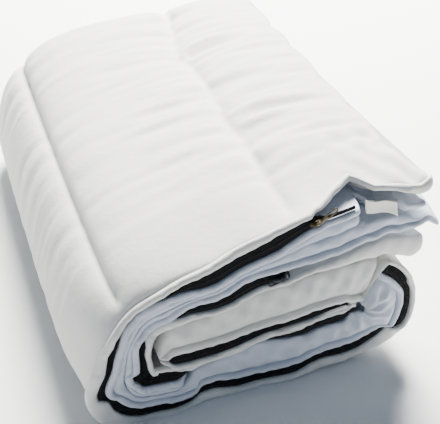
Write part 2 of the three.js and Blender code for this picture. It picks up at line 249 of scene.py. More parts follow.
CLOSE_SHARE, CLOSE_ROWS = 0.94, (LAST - 0.42, LAST - 0.04)  # the splits close at the core's end
ROUND_ROWS = (LAST - 0.62, LAST + 0.07)  # and the outside rounds off
LOWER_LIP_INSIDE = 2  # how far the inner quilt's open lips lie inside their pages
BAND_LEAST = 7  # least width of a bound edge
CORNER, CORNER_ROUND = 14.0, 0.92  # the free corner's radius, and how much of its quarter is used
# Pairs of rows between which one layer comes to hide another
NOTCH_ROWS = (0.25, 0.6), (1.25, 1.72)  # the inner quilt's outer layer lies behind the notch
LOWER_PUFF_ROWS = (12.5, 13.1), (20.3, 20.5)  # the inner quilt's outer leg puffs over its inner leg
BEND_ROWS = (17.0, 17.3), (20.5, 20.8)  # round the right bend that puff hides the inner zip too
CORE_ROWS = (20.2, 20.45)  # the outer quilt's puffed edge hides the inner quilt


def seam_row(row, y):
    """Row at which a seam lies at depth y: the middle seam wanders, the others run straight."""
    return np.interp(y, WANDER[:, 0], WANDER[:, 1]) if row == MIDDLE_SEAM else row + 0 * y


def groove(u, y):
    """Depth of the seam grooves: a cusp, depth times exp(-distance / width), the deepest one of all."""
    cusps = [depth * np.exp(-np.abs(u - seam_row(row, y)) * ROW_PITCH / width)
             for row, (depth, width) in SEAMS.items()]
    return np.maximum.reduce(cusps)


def recess(u):
    """How far the outer edge stands back: straight between the notch's points, and a quarter
    circle of CORNER radius at the free corner."""
    t = np.clip((UPPER_START + CORNER / ROW_PITCH - u) / (CORNER / ROW_PITCH), 0, 1)
    return np.interp(u, NOTCH[:, 0], NOTCH[:, 1]) + CORNER * (1 - np.sqrt(1 - CORNER_ROUND * t**2))


def zip_path(u, which):
    """Middle and half width of a zip's strip at u, straight between the listed places."""
    path = ZIP_PATH[which]
    return np.interp(u, path[:, 0], path[:, 1]), np.interp(u, path[:, 0], path[:, 2]) / 2


def layers(u):
    """Distances of every layer boundary from the middle line, at the front edge and in the body: shares
    of the stack in the roll, blended to the open pages' own places at the mouth."""
    s = stack_at(u)
    close = 1 - CLOSE_SHARE * ramp(*CLOSE_ROWS, u)
    opened = 1 - ramp(0, MOUTH_REACH, u)
    rounding = np.sqrt(1 - ramp(*ROUND_ROWS, u) ** 2)
    round_end = np.sqrt(1 - 0.97 * np.clip((u - ZIP_END + ZIP_ROUND) / ZIP_ROUND, 0, 1) ** 2)
    gap = LAYER_GAP / 2
    b = {}
    for side, (face, upper_page, upper_lip, slit, lower_page) in MOUTH.items():
        split = s[side] * SPLIT * close
        middle, half = zip_path(u, face)
        middle, half = middle * (close if side == "out" else 1), half * round_end
        b[face] = s[side] * rounding
        b["upper_" + side] = mix(split + LAYER_GAP, b[face] - upper_page, opened)
        b["lower_" + side] = mix(split, lower_page, opened)
        b["slit_" + side] = mix(gap, slit, opened)
        b["upper_lip_" + side] = mix(middle + half + gap, s["edge_" + side] - upper_lip, opened)
        b["lower_lip_" + side] = mix(middle - half - gap, lower_page - LOWER_LIP_INSIDE, opened)
        b["edge_" + side] = np.maximum(s["edge_" + side] * rounding, b["upper_lip_" + side] + BAND_LEAST)
    b["outer"] = b["outer"] + FLAP_RISE * (1 - ramp(*FLAP_ROWS, u))
    thin = THIN_SHARE * (1 - np.sqrt(1 - (1 - ramp(*THIN_ROWS, u)) ** 2))
    for side, (face, *_) in MOUTH.items():
        middle = (b[face] + b["upper_" + side]) / 2
        for key in (face, "upper_" + side, "upper_lip_" + side, "edge_" + side):
            b[key] = mix(b[key], middle, thin)
    return b


# %% The free end
# How far it is drawn in at each depth; cross ties pull cusps into it
FREE_EDGE = np.array([(0, 0), (30, 3), (90, 13), (190, 8), (280, 8), (420, 4), (550, 2), (700, -1)], float)
SCALLOPS, SCALLOP_DEPTH, SCALLOP_WIDTH = (102.0, 212.0, 310.0, 430.0, 520.0, 618.0), 6.0, 16.0
BLEND_BAND, BLEND_DEPTHS = (0.5, 28.0), (450, 640)  # the slides' blend widens towards the fold
SLIDE_ROWS, DRAWN_ROWS = (-0.2, 1.2), (0.2, 2.2)  # rows over which both fade into the roll


def free_edge(y):
    """How far the free end draws in at depth y, in mm: straight between the listed places, plus cusps."""
    ties = [np.exp(-np.abs(y - tie) / SCALLOP_WIDTH) for tie in SCALLOPS]
    return np.interp(y, FREE_EDGE[:, 0], FREE_EDGE[:, 1]) + SCALLOP_DEPTH * np.maximum.reduce(ties)


def page_slide(u, y, n, turned, away):
    """Slide along the winding, in rows, near the free end: one share for the outer side (turned) and one
    for the inner side (away), blended over a band that widens towards the fold, and the drawn-in edge."""
    band = mix(*BLEND_BAND, ramp(*BLEND_DEPTHS, y))
    share = mix(away, turned, ramp(-1, 1, n / band)) * (1 - ramp(*SLIDE_ROWS, u))
    return share + free_edge(y) / ROW_PITCH * (1 - ramp(*DRAWN_ROWS, u))


print("free end drawn in by", round(float(free_edge(np.arange(ROLL_LENGTH)).max()), 1), "mm at most")

# %% [markdown]
# ## Making meshes and nodes
# Every piece of cloth here is a grid of rings: ring i is one section, and the faces join it
# to ring i + 1. One small function turns such arrays into faces, one makes the mesh, and
# another adds a shader node with its settings and links.

# %% Helpers for meshes
def make_mesh(name, points, faces, uv=None):
    """A mesh object from arrays: points (N, 3), faces as index lists, uv as one pair per point."""
    mesh = bpy.data.meshes.new(name)
    mesh.from_pydata(np.asarray(points, float).reshape(-1, 3).tolist(), [], faces)
    if uv is not None:
        index = np.zeros(len(mesh.loops), np.int32)
        mesh.loops.foreach_get("vertex_index", index)
        layer = mesh.uv_layers.new(name="cloth")
        layer.data.foreach_set("uv", np.asarray(uv, np.float32).reshape(-1, 2)[index].ravel())
    mesh.polygons.foreach_set("use_smooth", np.ones(len(mesh.polygons), bool))
    mesh.validate()
    mesh.update()
    piece = bpy.data.objects.new(name, mesh)
    bpy.context.scene.collection.objects.link(piece)
    return piece


def signed_volume(points, quads):
    """Sum over the quads of the volumes of their two triangles' cones to the origin."""
    a, b, c, d = (points[quads[:, k]] for k in range(4))
    return float((np.cross(b, c) * a).sum() + (np.cross(c, d) * a).sum()) / 6


def skin(rings, endless=False):
    """Points and faces of a closed skin through equal closed rings, an array (rings, points, 3): capped
    at both ends, or closed on itself where it is endless. A negative volume turns the faces round."""
    count, around = rings.shape[:2]
    i = np.arange(count if endless else count - 1)[:, None]
    j = np.arange(around)[None]
    after, beside = (i + 1) % count * around, (j + 1) % around
    quads = np.stack([i * around + j, i * around + beside, after + beside, after + j], -1).reshape(-1, 4)
    caps = [] if endless else [list(range(around))[::-1], list(range((count - 1) * around, count * around))]
    points = rings.reshape(-1, 3)
    if signed_volume(points - points.mean(0), quads) < 0:
        quads, caps = quads[:, ::-1], [cap[::-1] for cap in caps]
    return points, quads.tolist() + caps


def joined(name, skins, uv=None):
    """One mesh object from several skins: their points in a row, their faces counted on from them."""
    points, faces, base = [], [], 0
    for part_points, part_faces in skins:
        faces += [[base + k for k in face] for face in part_faces]
        points.append(part_points)
        base += len(part_points)
    print(name, "skins:", len(skins), "triangles:", sum(len(face) - 2 for face in faces))
    return make_mesh(name, np.concatenate(points), faces, uv)


# %% Helpers for materials
def linear(hex_colour):
    """sRGB hex to the linear RGBA that Blender's sockets hold."""
    channels = [int(hex_colour[k:k + 2], 16) / 255 for k in (0, 2, 4)]
    return (*[c / 12.92 if c <= 0.04045 else ((c + 0.055) / 1.055) ** 2.4 for c in channels], 1.0)


def add(tree, kind, settings=None, **inputs):
    """Adds one node: settings are its own options; each input is a value or another node's output.
    An underscore in an input's name stands for a space, and in0, in1 are inputs by number."""
    node = tree.nodes.new(kind)
    for key, value in (settings or {}).items():
        setattr(node, key, value)
    for key, value in inputs.items():
        name = int(key[2:]) if key[:2] == "in" and key[2:].isdigit() else key.replace("_", " ")
        if isinstance(value, bpy.types.NodeSocket):
            tree.links.new(value, node.inputs[name])
        else:
            node.inputs[name].default_value = value
    return node


def new_material(name, **inputs):
    """A node material with one Principled shader; returns the material, its tree and the shader."""
    material = bpy.data.materials.new(name)
    material.use_nodes = True
    tree = material.node_tree
    tree.nodes.clear()
    shader = add(tree, "ShaderNodeBsdfPrincipled", **inputs)
    output = add(tree, "ShaderNodeOutputMaterial", Surface=shader.outputs["BSDF"])
    material.diffuse_color = shader.inputs["Base Color"].default_value
    output.location = (400, 0)
    return material, tree, shader


def thread_wave(tree, axis, pitch_mm):
    """Sine of one axis of the cloth's own UV, one turn for each pitch."""
    cloth = add(tree, "ShaderNodeUVMap", {"uv_map": "cloth"}).outputs["UV"]
    axes = add(tree, "ShaderNodeSeparateXYZ", Vector=cloth)
    turns = 2 * math.pi / (pitch_mm * MM)
    scaled = add(tree, "ShaderNodeMath", {"operation": "MULTIPLY"}, in0=axes.outputs[axis], in1=turns)
    return add(tree, "ShaderNodeMath", {"operation": "SINE"}, in0=scaled.outputs[0]).outputs[0]


def ribbed(name, tint, axis, pitch_mm, strength, depth_mm, **inputs):
    """A cloth with ribs along one axis: a single colour, and a bump from one sine of its UV."""
    material, tree, shader = new_material(name, Base_Color=linear(tint), **inputs)
    rib = thread_wave(tree, axis, pitch_mm)
    bump = add(tree, "ShaderNodeBump", Strength=strength, Distance=depth_mm * MM, Height=rib)
    tree.links.new(bump.outputs["Normal"], shader.inputs["Normal"])
    return material


# %% [markdown]
# ## Cotton percale
# The cover is bleached cotton percale, a tight plain weave, calendered so that it is smooth
# but not shiny. Light enters the thin cloth and the white filling and comes out softened,
# and loose fibres give a faint sheen at grazing angles.

# %% Cotton percale
THREAD_MM = 0.8  # real ones lie 0.25 mm apart; drawn coarser so that the weave shows


def percale(name, tint, shade, crinkle_mm):
    """Plain weave: the product of two sines of the cloth's own UV, with a soft crinkle over it."""
    material, tree, shader = new_material(
        name, Roughness=0.82, Sheen_Weight=0.25, Sheen_Roughness=0.45,
        Subsurface_Weight=0.02, Subsurface_Radius=(0.006, 0.006, 0.006), Subsurface_Scale=1.0)
    warp, weft = (thread_wave(tree, axis, 2 * THREAD_MM) for axis in ("X", "Y"))
    weave = add(tree, "ShaderNodeMath", {"operation": "MULTIPLY"}, in0=warp, in1=weft)
    space = add(tree, "ShaderNodeTexCoord").outputs["Object"]
    crinkle = add(tree, "ShaderNodeTexNoise", Vector=space, Scale=1 / (crinkle_mm * MM), Detail=3.0,
                  Roughness=0.55)
    blotch = add(tree, "ShaderNodeTexNoise", Vector=space, Scale=9.0, Detail=2.0)
    colour = add(tree, "ShaderNodeMix", {"data_type": "RGBA"}, Factor=blotch.outputs["Fac"],
                 A=linear(tint), B=linear(shade))
    tree.links.new(colour.outputs["Result"], shader.inputs["Base Color"])
    soft = add(tree, "ShaderNodeBump", Strength=0.35, Distance=0.0016, Height=crinkle.outputs["Fac"])
    fine = add(tree, "ShaderNodeBump", Strength=0.12, Distance=0.0002, Height=weave.outputs[0],
               Normal=soft.outputs["Normal"])
    tree.links.new(fine.outputs["Normal"], shader.inputs["Normal"])
    return material


percale_outer = percale("bleached_cotton_percale", "dcdcd8", "d6d7d4", 9)
# The inner quilt's copy is darker and bluer than the outer one: painted shade, for the inner quilt lies in
# shadow.
painted_shade_percale_inner = percale("bleached_cotton_percale_painted_shade", "c8ced9", "bcc5d3", 8)
print("materials:", percale_outer.name, painted_shade_percale_inner.name)

# %% [markdown]
# ## Wrinkles of the cover
# Sewing a filled box draws its seams in, so the cover between them is longer than the seams
# and throws small wrinkles across the roll. That is what cloth does by itself: a flat panel
# with too much length along the seams is pinned at them, blown up a little and let go. The
# heights it settles at are read off, and the panel is thrown away.

# %% Simulate the cover
PANEL_WIDTH, PANEL_LENGTH = 960.0, 700.0  # along the winding and along the roll
PANEL_COLUMNS, PANEL_ROWS = 97, 117
EXTRA_LENGTH, EXTRA_WIDTH = 0.05, 0.008  # how much longer the cloth is cut, as shares
EXTRA_FROM, EXTRA_OVER = 90, 80  # the depth where that starts, and grows to the full share
PIN_REACH = 0.51  # of a column, to each side of a seam
START_NOISE, NOISE_SEED = 1.5, 7
SETTLE_FRAMES = 28


def smooth_noise(shape, seed, spread_a, spread_b):
    """White noise blurred by Gaussians of two widths, in cells, and scaled to a deviation of one."""
    noise = np.random.default_rng(seed).standard_normal(shape)
    for axis, spread in ((0, spread_a), (1, spread_b)):
        reach = np.arange(-3 * spread, 3 * spread + 1)
        bell = np.exp(-0.5 * (reach / spread) ** 2)
        noise = np.apply_along_axis(lambda line: np.convolve(line, bell, "same"), axis, noise)
    return noise / noise.std()


def cover_panel():
    """The pinned panel and its rest shape: flat, with a little noise where it is free, and at rest
    longer along the roll from a short way behind the front."""
    arc = np.linspace(0, PANEL_WIDTH, PANEL_COLUMNS)[:, None]
    depth = np.linspace(0, PANEL_LENGTH, PANEL_ROWS)[None]
    distance = np.minimum.reduce([np.abs(arc - np.interp(seam_row(seam, depth), row_of_arc, arc_of_row))
                                  for seam in SEAMS])
    pinned = distance <= arc[1, 0] * PIN_REACH
    pinned[[0, -1], :] = True
    pinned[:, [0, -1]] = True
    noise = START_NOISE * smooth_noise(pinned.shape, NOISE_SEED, 3, 1) * ~pinned
    start = np.stack(np.broadcast_arrays(arc, depth, noise), -1)
    grown = EXTRA_LENGTH * np.clip((depth[0] - EXTRA_FROM) / EXTRA_OVER, 0, 1)
    longer = np.concatenate([[0], np.cumsum(np.diff(depth[0]) * (1 + grown[1:]))])
    rest = np.stack(np.broadcast_arrays(arc * (1 + EXTRA_WIDTH), longer[None], 0 * arc), -1)
    index = np.arange(pinned.size).reshape(pinned.shape)
    quads = np.stack([index[:-1, :-1], index[1:, :-1], index[1:, 1:], index[:-1, 1:]], -1).reshape(-1, 4)
    panel = make_mesh("cover_panel", start * MM, quads.tolist())
    panel.shape_key_add(name="Basis")
    rest_key = panel.shape_key_add(name="rest")
    rest_key.data.foreach_set("co", (rest * MM).astype(np.float32).ravel())
    pins = panel.vertex_groups.new(name="pins")
    pins.add(np.nonzero(pinned.ravel())[0].tolist(), 1.0, "REPLACE")
    return panel, rest_key


def simulate_cover():
    """Height of the settled cover in millimetres, as an array (columns along the winding, rows of depth)."""
    panel, rest_key = cover_panel()
    cloth = panel.modifiers.new("cloth", "CLOTH")
    cloth.point_cache.frame_start, cloth.point_cache.frame_end = 1, SETTLE_FRAMES
    cloth.collision_settings.use_collision = False
    settings = cloth.settings
    settings.quality, settings.mass, settings.air_damping = 6, 0.3, 2.0
    settings.tension_stiffness = settings.compression_stiffness = 40
    settings.shear_stiffness, settings.bending_stiffness = 10, 8
    settings.tension_damping = settings.compression_damping = settings.shear_damping = 10
    settings.vertex_group_mass, settings.rest_shape_key = "pins", rest_key
    settings.effector_weights.gravity = 0
    settings.use_pressure, settings.uniform_pressure_force = True, 3.0
    for frame_number in range(1, SETTLE_FRAMES + 1):
        bpy.context.scene.frame_set(frame_number)
    settled = panel.evaluated_get(bpy.context.evaluated_depsgraph_get())
    points = np.zeros(PANEL_COLUMNS * PANEL_ROWS * 3, np.float32)
    settled.data.vertices.foreach_get("co", points)
    mesh = panel.data
    bpy.data.objects.remove(panel)
    bpy.data.meshes.remove(mesh)
    bpy.context.scene.frame_set(1)
    return points.reshape(PANEL_COLUMNS, PANEL_ROWS, 3)[..., 2] / MM


def relief_at(u, y):
    """Height of the settled cover at row u and depth y, straight between its four nearest vertices."""
    if cover is None:
        return 0 * u * y
    a = np.interp(u, row_of_arc, arc_of_row) / PANEL_WIDTH * (PANEL_COLUMNS - 1)
    b = np.clip(y, 0, PANEL_LENGTH) / PANEL_LENGTH * (PANEL_ROWS - 1)
    i = np.clip(np.floor(a).astype(int), 0, PANEL_COLUMNS - 2)
    j = np.clip(np.floor(b).astype(int), 0, PANEL_ROWS - 2)
    s, t = np.clip(a - i, 0, 1), b - j
    return mix(mix(cover[i, j], cover[i + 1, j], s), mix(cover[i, j + 1], cover[i + 1, j + 1], s), t)


cover = simulate_cover()
if cover is not None:
    print("cover heights in mm:", round(float(cover.min()), 1), "to", round(float(cover.max()), 1))

# %% [markdown]
# ## The outer quilt
# A quilt is two cloths sewn together at a bound edge, with filling that crowns it between
# the seams. Its section runs round the bound edge, up the crown, round the hidden fold at
# the back and home along the inner leg.

# %% Section of the outer quilt
BIND_DEPTH, BIND_WIDTH = 5.0, 9.0  # half of the bound edge, front to back; its width as it shows
CROWN_ZONE = 70.0  # from the stitch line to the full thickness
CROWN_RISE = 0.42  # where on the band the crown starts, from its middle
DRAWN_DEPTHS = (40, 150)  # depths over which a drawn-back edge comes forward again
FOLD_START, FOLD_OVER = 636.0, 9.0  # the fold's first depth, and its reach past the nominal length
EDGE_GATHER, PUFF_GATHER = 1.3, 0.3  # size of the gathers on the bound edge and on a puff
EDGE_GATHER_RATE = 1.7  # how much closer they lie on the bound edge
PUFF_DEPTH, PUFF_POWER = 16.0, 2.5  # a puff's depth, and the power of its superellipse
PUFF_UNDER = 7.5  # how far back its lower half may reach
GATHERS = ((0.45, 23, 0.11, 1.0), (0.35, 37, -0.16, 2.1), (0.30, 61, 0.07, 0.7))  # size, mm, lean, phase
EDGE_ANGLES = np.radians(np.linspace(-105, 112, 14))
NEAR_EDGE = np.array([10.2, 11.2, 12.4, 13.8, 15.4, 17.2, 19.2, 21.4, 24, 27, 30, 33, 36, 39, 42, 45, 48,
                      50.5, 53, 56])
PUFF_STEPS = np.linspace(-0.96, 0.9, 14)
PUFF_END = np.array([0.1, 0.25, 0.42, 0.6, 0.8, 1.0])
BODY = np.arange(61.0, FOLD_START, 5.0)
FOLD_ANGLES = np.radians(np.linspace(0, 90, 13))
INNER_BODY = np.array([75.0, 90, 110, 140, 180, 240, 320, 420, 520])
SHELF = np.array([34.0, 60, 110, 200, 400, 594])


def wave(u):
    """Slow in-and-out wander of the front edges, two sines of the place along the winding."""
    return 2.0 * np.sin(1.9 * u + 0.4) + 1.1 * np.sin(4.3 * u + 1.7)


def drawn_back(y, back):
    """Depths moved back with the edge near the front, and left where they are behind DRAWN_DEPTHS."""
    return y + back * (1 - ramp(*DRAWN_DEPTHS, y))


def bound_edge(front, near, far):
    """Half-round band: an ellipse about the middle of its two sides, from its inside round to its outside."""
    middle, half = (near + far) / 2, (far - near) / 2
    y = front + BIND_DEPTH * (1 - np.cos(EDGE_ANGLES))
    n = middle + half * np.sin(EDGE_ANGLES)
    return np.broadcast_arrays(y, n)


def crown(nominal, edge, full):
    """A quarter ellipse that rises from the stitch line to the full thickness over the crown zone."""
    t = np.clip((nominal - NEAR_EDGE[0]) / CROWN_ZONE, 0, 1)
    return edge + (full - edge) * np.sqrt(1 - (1 - t) ** 2)


def rumple(u, n, seed):
    """Gathers of an edge: three sines along the winding whose phases drift with n, so they fork and lean."""
    turns = 2 * math.pi * ROW_PITCH * u
    short, middle, long = (size * np.sin(turns / length + lean * n + phase * seed)
                           for size, length, lean, phase in GATHERS)
    return short + middle + long * np.sin(0.12 * n + seed)


def leg_edge(u, front, near, far, full, cover, bulge, seed):
    """A leg from its bound edge to 56 mm behind it. Plain, the face rises from the stitch line as a crown.
    Covered, it first bulges across the front as a superellipse from the band to the far side."""
    band_far = mix(far, np.minimum(near + BIND_WIDTH, far), cover)
    edge_y, edge_n = bound_edge(front, near, band_far)
    edge_y = edge_y + EDGE_GATHER * rumple(u * EDGE_GATHER_RATE, edge_n, seed) * np.cos(EDGE_ANGLES)
    rise = (near + band_far) / 2 + CROWN_RISE * (band_far - near) / 2
    plain_y = drawn_back(NEAR_EDGE, front)
    plain_n = crown(NEAR_EDGE, mix(rise, far, cover), full)
    half = np.maximum(far - near - BIND_WIDTH, 4) / 2
    depth = np.minimum(PUFF_DEPTH, half)
    puff_n = far - half + half * PUFF_STEPS
    puff_y = front + 1.0 - bulge + depth * (1 - (1 - np.abs(PUFF_STEPS) ** PUFF_POWER) ** (1 / PUFF_POWER))
    puff_y = np.where(PUFF_STEPS < 0, np.minimum(puff_y, front + PUFF_UNDER), puff_y)
    puff_y = puff_y + PUFF_GATHER * depth * rumple(u, puff_n, seed) * (1 - PUFF_STEPS**2)
    last_y, last_n = puff_y[:, -1:], puff_n[:, -1:]
    end_y = mix(last_y, NEAR_EDGE[-1], PUFF_END)
    end_n = mix(last_n, full, np.sin(PUFF_END * math.pi / 2))
    puff_y, puff_n = np.concatenate([puff_y, end_y], 1), np.concatenate([puff_n, end_n], 1)
    y, n = mix(plain_y, puff_y, cover), mix(plain_n, puff_n, cover)
    return np.concatenate([edge_y + 0 * n[:, :1], y], 1), np.concatenate([edge_n, n], 1)


# %% The boxes between the seams
PUFF_HEIGHT, PUFF_SPAN, PUFF_SHARPNESS = 9.0, 4.5, 0.8  # a box of PUFF_SPAN rows is PUFF_HEIGHT high
FIRST_BOX, LAST_BOXES = -0.2, (21.5, 26.0)  # rows where the first box starts and the last two end
BOX_DEPTHS, GROOVE_DEPTHS, WRINKLE_DEPTHS = (15, 120), (6, 40), (50, 170)  # where each comes in
BOTTOM_ROWS = (10.9, 12.4)  # the boxes flatten where the roll lies
BACK_FILL, BACK_DEPTHS = 1.2, (380, 640)  # how much fuller the middle box is at the back
BACK_ROWS = (1.2, 4.5), (7.2, 8.2)
RELIEF_ROWS = np.array([(0, 1.2), (2.0, 1.6), (2.8, 1.9), (4.2, 0.9), (6, 0.35), (7.35, 0.4), (11, 0.4),
                        (21, 0.8), (26, 0)])  # row, share of the simulated wrinkles


def outer_face(u, y):
    """Height of the outer face over the crown: filled boxes, half sines between the cross seams, less
    the seam grooves, plus the wrinkles of the simulated cover, all fading to nil at the front edge."""
    u, y = np.broadcast_arrays(u, y)
    rows = [seam_row(row, y) for row in (FIRST_BOX, *sorted(SEAMS), *LAST_BOXES)]
    share, span = np.zeros_like(y), np.zeros_like(y)
    for low, high in zip(rows[:-1], rows[1:]):
        inside = (u >= low) & (u < high)
        share = np.where(inside, (u - low) / (high - low), share)
        span = np.where(inside, high - low, span)
    filled = PUFF_HEIGHT * np.sqrt(span / PUFF_SPAN) * np.sin(math.pi * share) ** PUFF_SHARPNESS
    filled = filled * ramp(*BOX_DEPTHS, y) * (1 - ramp(*BOTTOM_ROWS, u))
    filled = filled * (1 + BACK_FILL * ramp(*BACK_DEPTHS, y) * between(*BACK_ROWS, u))
    wrinkles = relief_at(u, y) * np.interp(u, RELIEF_ROWS[:, 0], RELIEF_ROWS[:, 1])
    return filled - groove(u, y) * ramp(*GROOVE_DEPTHS, y) + wrinkles * ramp(*WRINKLE_DEPTHS, y)


def ring(parts, zero):
    """Joins the parts of a section, each as arrays of y and n, into one closed ring for every place."""
    parts = [np.broadcast_arrays(y + zero, n + zero) for y, n in parts]
    return np.concatenate([y for y, n in parts], 1), np.concatenate([n for y, n in parts], 1)


def upper_section(u):
    """Closed rings (y, n) of the outer quilt, as arrays (places, points around)."""
    s = {key: value[:, None] for key, value in layers(u).items()}
    u = u[:, None]
    back, zero = recess(u), 0 * s["outer"]
    core = ramp(*CORE_ROWS, u)
    near = mix(s["upper_lip_out"], -s["lower_lip_in"], core)
    y, n = leg_edge(u, back, near, s["edge_out"], s["outer"], core, bulge=1.0, seed=0.3)
    plain = np.arange(y.shape[1]) >= len(EDGE_ANGLES)
    parts = [(y, n + outer_face(u, y) * plain * (1 - core))]
    y = drawn_back(BODY, back)
    parts.append((y, crown(BODY, s["edge_out"], s["outer"]) + outer_face(u, y)))
    t = np.sin(FOLD_ANGLES)
    shape = np.sqrt(np.maximum(1 - t**3, 0))
    y = FOLD_START + (ROLL_LENGTH + FOLD_OVER - FOLD_START) * t
    parts.append((y, (s["outer"] + outer_face(u, y + zero)) * shape))
    parts.append((y[-2::-1], -s["inner"] * shape[-2::-1]))
    parts.append((INNER_BODY[::-1], -crown(INNER_BODY[::-1], s["edge_in"], s["inner"])))
    hidden = HIDDEN_BACK * between(*BEND_ROWS, u)
    y, n = leg_edge(u, hidden, s["upper_lip_in"], s["edge_in"], s["inner"], zero, bulge=0.0, seed=1.9)
    parts.append((y[:, ::-1], -n[:, ::-1]))
    parts.append((drawn_back(SHELF, hidden), -s["upper_in"]))
    parts.append((ROLL_LENGTH - FOLD_WALL + zero, zero))
    parts.append((drawn_back(SHELF[::-1], back), s["upper_out"]))
    return ring(parts, zero)


# %% Carry a section along the winding
END_CENTRE, END_REACH = -14.0, 0.5  # the core's end closes to a point in n, over this many rows
SAG_DEPTHS, FRONT_DEPTHS = (100, 400), (10, 120)  # depths over which the sag and the wander fade
RING_STEP = 1 / 12


def settle(row, y, n, slides=(0.0, 0.0), droop=0.0):
    """Section points in the room: the front wanders, and the pages slide and hang at the mouth."""
    y = y + wave(row) * (1 - ramp(*FRONT_DEPTHS, y))
    sag = droop * (1 - ramp(0, 1.0, row)) * ramp(0, -20, n) * (1 - ramp(*SAG_DEPTHS, y))
    return place(row + page_slide(row, y, n, *slides), y, n - sag)


def wound(name, u, section, slides=(0.0, 0.0), droop=0.0, closes=False):
    """Carries a section along the winding; its UV is the cloth's own length and width in metres. One
    that closes runs to END_CENTRE at the core's end along a rounded curve."""
    y, n = section(u)
    if closes:
        closing = 1 - np.sqrt(1 - 0.985 * np.clip((u[:, None] - LAST) / END_REACH + 1, 0, 1) ** 3)
        n = mix(n, END_CENTRE, closing)
    rings = settle(u[:, None], y, n, slides, droop)
    girth = np.concatenate([[0], np.cumsum(np.hypot(np.diff(y[len(u) // 2]), np.diff(n[len(u) // 2])))])
    uv = np.stack(np.broadcast_arrays(arc_length(u)[:, None], girth[None]), -1) * MM
    return joined(name, [skin(rings)], uv)


CLOSER = LAST - 0.3  # the rings lie closer from here
upper_rows = np.concatenate([np.arange(UPPER_START, CLOSER, RING_STEP), np.linspace(CLOSER, LAST, 9)])
upper = wound("quilt_upper", upper_rows, upper_section, slides=(0.0, 0.17), droop=9.0, closes=True)
upper.data.materials.append(percale_outer)

# %% [markdown]
# ## Stitches
# The edge is bound and the boxes are divided by lockstitch, which shows as a row of short
# threads that sink a little into the cloth. One small rounded bridge stands for each.

# %% Lockstitch along the binding and down the left seam
STITCH_PITCH, STITCH_LENGTH = 5.0, 3.4  # real ones are 3 mm apart; drawn coarser so that they show
STITCH_WIDTH, STITCH_HEIGHT = 1.0, 0.5
BINDING_COLUMN = len(EDGE_ANGLES)  # the section's point on the stitch line
SEAM_RING = 89  # the ring of the outer quilt that runs down the left seam
BINDING_ROWS, SEAM_DEPTHS = (2.1, 19.9), (96.0, 630.0)
FLOOR_CLEARANCE = 3 * MM  # stitches lower than this would lie in the floor
BRIDGE_STEPS = np.linspace(-1, 1, 5)  # a bridge is five rings of six points
BRIDGE_TURN = np.linspace(0, 2 * math.pi, 7)[:-1]


def stitches(name, place_at, positions):
    """A bridge for each position: hexagonal rings along the path place_at, their size following an
    ellipse. Across is square to the path and to the cloth, whose outward direction is n's."""
    where = positions[:, None] + STITCH_LENGTH / 2 * BRIDGE_STEPS
    centre, raised = place_at(where, 0.0), place_at(where, 1.0)
    out = unit(raised - centre)
    across = unit(np.cross(np.gradient(centre, axis=1), out))
    size = MM * np.sqrt(1 - 0.85 * BRIDGE_STEPS**2)[None, :, None, None]
    wide = STITCH_WIDTH / 2 * np.cos(BRIDGE_TURN)[:, None] * across[:, :, None]
    high = STITCH_HEIGHT * np.sin(BRIDGE_TURN)[:, None] * out[:, :, None]
    return joined(name, [skin(bridge) for bridge in centre[:, :, None] + size * (wide + high)])


def on_binding(arc, lift):
    """Points on the binding's stitch line at an arc length, lifted along n."""
    u = np.interp(arc, arc_of_row, row_of_arc)
    y, n = (v[:, BINDING_COLUMN].reshape(u.shape) for v in upper_section(u.ravel()))
    return settle(u, y, n + lift)


def on_left_seam(y, lift):
    """Points in the left seam's groove at a depth, lifted along n."""
    u = upper_rows[SEAM_RING] + 0 * y
    return settle(u, y, stack_at(u)["out"] + outer_face(u, y) + lift)


binding_arcs = np.arange(*arc_length(BINDING_ROWS), STITCH_PITCH)
binding_arcs = binding_arcs[on_binding(binding_arcs, 0.0)[:, 2] > FLOOR_CLEARANCE]
stitched = [stitches("stitches_binding", on_binding, binding_arcs),
            stitches("stitches_left_seam", on_left_seam, np.arange(*SEAM_DEPTHS, STITCH_PITCH))]
thread, _, _ = new_material("spun_polyester_thread", Base_Color=linear("e4e4e0"), Roughness=0.6)
for piece in stitched:
    piece.data.materials.append(thread)

# %% [markdown]
# ## The inner quilt
# Its two legs lie between those of the outer quilt and show only as two rounded bands of
# edge with a dark line between them, and as two loose pages at the mouth.

# %% Section of the inner quilt
LOWER_FACE = np.array([12.0, 16, 22, 30, 45, 75, 100, 140, 200, 270, 340, 410, 480, 550, 594])
LOWER_SLIT = np.array([60.0, 200, 400])
SLIT_SHORT = 40  # how much sooner the slit ends than the fold
SET_BACK = 27.0  # a hidden edge lies this far behind the puff that hides it
NOTCH_BACK = 16  # how far the inner quilt's page stands back behind the notch's edge
LIP_LEAST, LIP_STEP = 3, 1.5  # the bound edge's least width, and the step down from it
LOWER_BULGE, BEND_BULGE = 2.0, 3.0
LOWER_OPEN, RISE_DEPTHS = (0, 1.5), (6, 30)  # rows over which the pages open; depths of the face's rise
PAGE_IN, SLIT_FACE, SLIT_INSIDE = 22, 6, 4  # where the open pages' faces lie off the middle line


